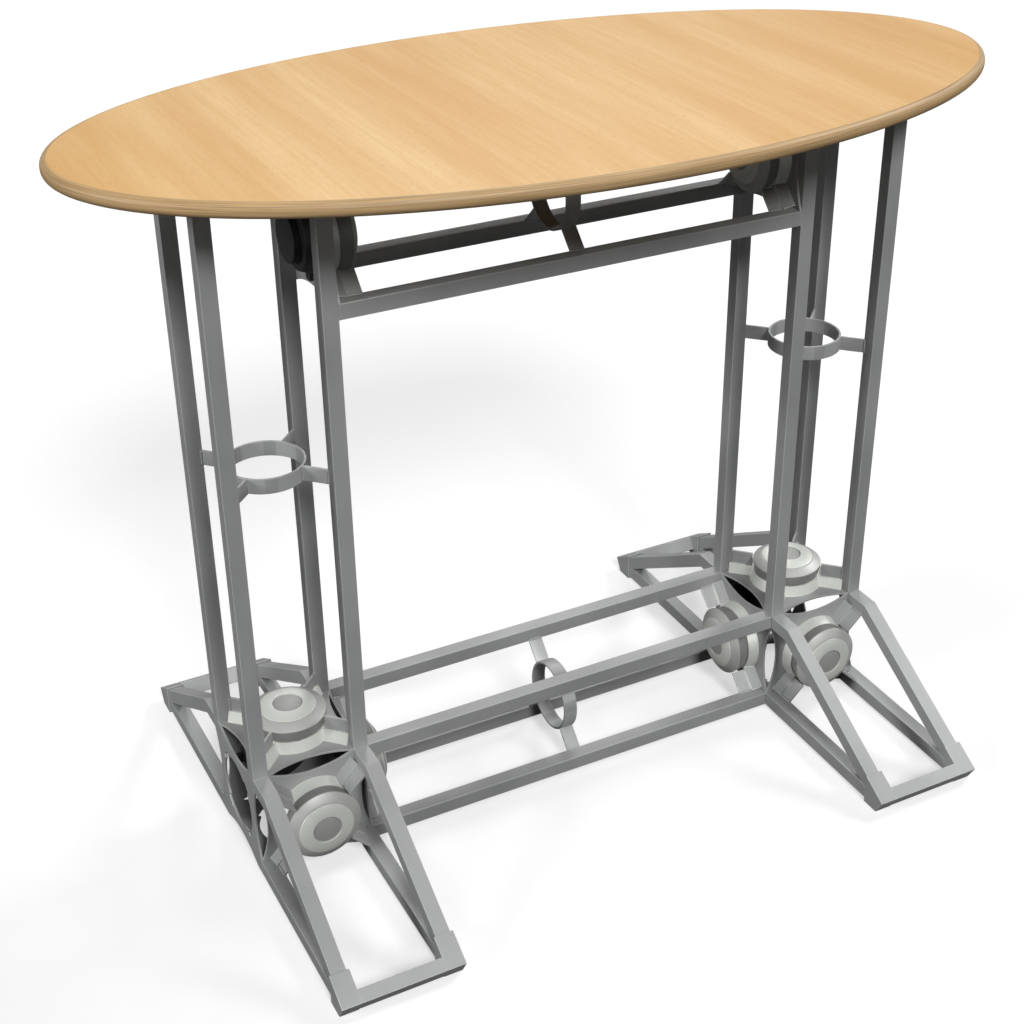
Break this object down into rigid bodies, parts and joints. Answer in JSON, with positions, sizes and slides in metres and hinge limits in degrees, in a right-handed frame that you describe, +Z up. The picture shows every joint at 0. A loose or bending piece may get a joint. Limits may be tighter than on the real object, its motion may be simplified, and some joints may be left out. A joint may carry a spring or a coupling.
{
  "type": "exhibition counter",
  "caption": "Oval wood worktop on ring-braced square truss columns, tied by cross trusses, with wedge feet and twist-lock knobs at the corner junctions.",
  "frame": {"origin": "on the floor, midway between the two columns", "axes": "+Z up, X along the counter, -Y towards the visitor's side seen in the picture"},
  "size_m": [1.1999, 0.7236, 0.957],
  "materials": {
    "beech_board": "clear satin lacquer over pale veneer",
    "silver_coated_steel": "semi-gloss silver-grey coat",
    "satin_aluminium": "satin casting",
    "black_nylon": "moulded, matte",
    "zinc_steel": "bright zinc"
  },
  "bodies": {
    "frame": {"column_spiders": "satin_aluminium", "foot_spiders": "satin_aluminium", "left_back_foot_rails": "silver_coated_steel", "left_back_foot_toe": "silver_coated_steel", "left_column_chord_back_inner": "silver_coated_steel", "left_column_chord_back_outer": "silver_coated_steel", "left_column_chord_front_inner": "silver_coated_steel", "left_column_chord_front_outer": "silver_coated_steel", "left_column_ring": "silver_coated_steel", "left_front_foot_rails": "silver_coated_steel", "left_front_foot_toe": "silver_coated_steel", "left_junction": "silver_coated_steel", "left_side_plate": "silver_coated_steel", "left_top_plate": "silver_coated_steel", "lower_truss_chord_back_bottom": "silver_coated_steel", "lower_truss_chord_back_top": "silver_coated_steel", "lower_truss_chord_front_bottom": "silver_coated_steel", "lower_truss_chord_front_top": "silver_coated_steel", "lower_truss_ring": "silver_coated_steel", "lower_truss_spiders": "satin_aluminium", "right_back_foot_rails": "silver_coated_steel", "right_back_foot_toe": "silver_coated_steel", "right_column_chord_back_inner": "silver_coated_steel", "right_column_chord_back_outer": "silver_coated_steel", "right_column_chord_front_inner": "silver_coated_steel", "right_column_chord_front_outer": "silver_coated_steel", "right_column_ring": "silver_coated_steel", "right_front_foot_rails": "silver_coated_steel", "right_front_foot_toe": "silver_coated_steel", "right_junction": "silver_coated_steel", "right_side_plate": "silver_coated_steel", "right_top_plate": "silver_coated_steel", "upper_truss_chord_back_bottom": "silver_coated_steel", "upper_truss_chord_back_top": "silver_coated_steel", "upper_truss_chord_front_bottom": "silver_coated_steel", "upper_truss_chord_front_top": "silver_coated_steel", "upper_truss_ring": "silver_coated_steel", "upper_truss_spiders": "satin_aluminium", "worktop": "beech_board", "worktop_screws": "zinc_steel"},
    "left_column_lock": {"left_column_knob": "satin_aluminium", "left_column_lock_plug": "black_nylon"},
    "lower_truss_left_lock": {"lower_truss_left_knob": "satin_aluminium", "lower_truss_left_lock_plug": "black_nylon"},
    "upper_truss_left_lock": {"upper_truss_left_knob": "satin_aluminium", "upper_truss_left_lock_plug": "black_nylon"},
    "left_front_foot_lock": {"left_front_foot_knob": "satin_aluminium", "left_front_foot_lock_plug": "black_nylon"},
    "left_back_foot_lock": {"left_back_foot_knob": "satin_aluminium", "left_back_foot_lock_plug": "black_nylon"},
    "right_column_lock": {"right_column_knob": "satin_aluminium", "right_column_lock_plug": "black_nylon"},
    "lower_truss_right_lock": {"lower_truss_right_knob": "satin_aluminium", "lower_truss_right_lock_plug": "black_nylon"},
    "upper_truss_right_lock": {"upper_truss_right_knob": "satin_aluminium", "upper_truss_right_lock_plug": "black_nylon"},
    "right_front_foot_lock": {"right_front_foot_knob": "satin_aluminium", "right_front_foot_lock_plug": "black_nylon"},
    "right_back_foot_lock": {"right_back_foot_knob": "satin_aluminium", "right_back_foot_lock_plug": "black_nylon"}
  },
  "joints": [
    {"name": "left_column_twist", "type": "hinge", "parent": "frame", "child": "left_column_lock", "pos_m": [-0.393, 0, 0.159], "axis": [0, 0, 1], "range_deg": [0, 45]},
    {"name": "lower_truss_left_twist", "type": "hinge", "parent": "frame", "child": "lower_truss_left_lock", "pos_m": [-0.315, 0, 0.081], "axis": [1, 0, 0], "range_deg": [0, 45]},
    {"name": "upper_truss_left_twist", "type": "hinge", "parent": "frame", "child": "upper_truss_left_lock", "pos_m": [-0.312, 0, 0.835], "axis": [1, 0, 0], "range_deg": [0, 45]},
    {"name": "left_front_foot_twist", "type": "hinge", "parent": "frame", "child": "left_front_foot_lock", "pos_m": [-0.393, -0.078, 0.081], "axis": [0, -1, 0], "range_deg": [0, 45]},
    {"name": "left_back_foot_twist", "type": "hinge", "parent": "frame", "child": "left_back_foot_lock", "pos_m": [-0.393, 0.078, 0.081], "axis": [0, 1, 0], "range_deg": [0, 45]},
    {"name": "right_column_twist", "type": "hinge", "parent": "frame", "child": "right_column_lock", "pos_m": [0.393, 0, 0.159], "axis": [0, 0, 1], "range_deg": [0, 45]},
    {"name": "lower_truss_right_twist", "type": "hinge", "parent": "frame", "child": "lower_truss_right_lock", "pos_m": [0.315, 0, 0.081], "axis": [-1, 0, 0], "range_deg": [0, 45]},
    {"name": "upper_truss_right_twist", "type": "hinge", "parent": "frame", "child": "upper_truss_right_lock", "pos_m": [0.312, 0, 0.835], "axis": [-1, 0, 0], "range_deg": [0, 45]},
    {"name": "right_front_foot_twist", "type": "hinge", "parent": "frame", "child": "right_front_foot_lock", "pos_m": [0.393, -0.078, 0.081], "axis": [0, -1, 0], "range_deg": [0, 45]},
    {"name": "right_back_foot_twist", "type": "hinge", "parent": "frame", "child": "right_back_foot_lock", "pos_m": [0.393, 0.078, 0.081], "axis": [0, 1, 0], "range_deg": [0, 45]}
  ]
}
